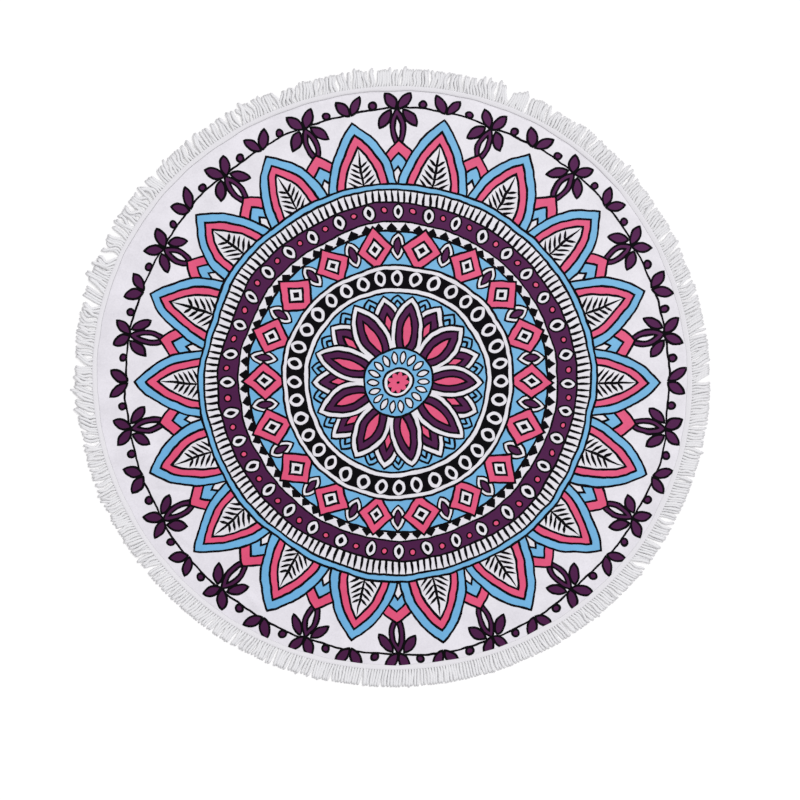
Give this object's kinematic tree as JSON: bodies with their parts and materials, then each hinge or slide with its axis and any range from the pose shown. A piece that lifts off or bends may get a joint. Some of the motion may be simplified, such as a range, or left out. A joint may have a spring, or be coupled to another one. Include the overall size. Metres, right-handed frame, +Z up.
{
  "type": "round beach towel",
  "caption": "Round flat beach towel of printed cotton velour with a header tape and a twisted cord fringe all round its rim.",
  "frame": {"origin": "middle of the towel, on the surface that it lies on", "axes": "+Z up, out of the printed face; +X to the right and +Y to the top of the print as the picture shows it"},
  "size_m": [1.5187, 1.4773, 0.005],
  "materials": {
    "printed_velour": "short sheared cotton pile, matt, printed on the face",
    "cotton_fringe": "soft twisted cotton cord, matt"
  },
  "bodies": {
    "root": {"towel": "printed_velour", "fringe": "cotton_fringe"}
  },
  "joints": []
}
